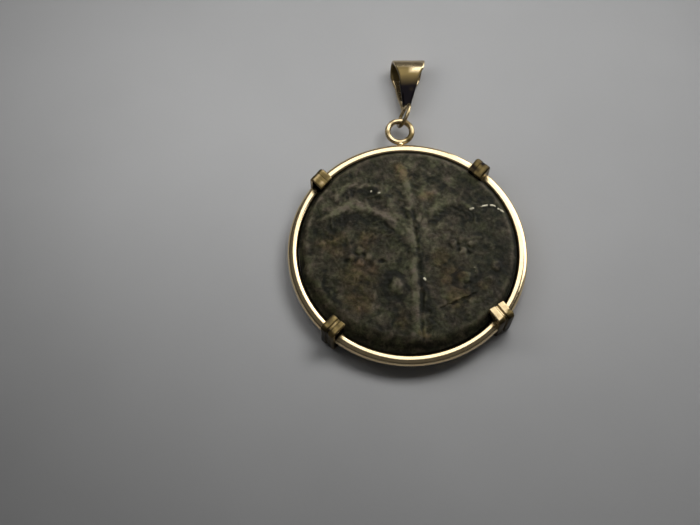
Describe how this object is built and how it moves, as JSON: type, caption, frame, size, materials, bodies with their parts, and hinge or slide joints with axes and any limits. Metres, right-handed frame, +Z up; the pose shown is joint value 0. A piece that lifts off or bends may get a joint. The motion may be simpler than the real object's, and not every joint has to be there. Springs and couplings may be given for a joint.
{
  "type": "coin pendant",
  "caption": "Old bronze coin with a raised palm tree in a round gold wire ring, held by bent-over claws, with a small loop and a tapered folded bail for a chain.",
  "frame": {"origin": "middle of the whole pendant as it lies, on the surface that its claws' feet rest on", "axes": "+Y from the pendant's middle towards its loop and bail, +Z up, out of the coin's face, +X to the right seen from above"},
  "size_m": [0.0276, 0.0396, 0.0046],
  "materials": {
    "old_bronze": "worn struck bronze with a dark olive-brown patina",
    "frame_gold": "polished yellow gold, lightly scratched",
    "bail_gold": "polished yellow gold, lightly scratched"
  },
  "bodies": {
    "root": {"coin": "old_bronze", "frame": "frame_gold", "bail": "bail_gold"}
  },
  "joints": []
}
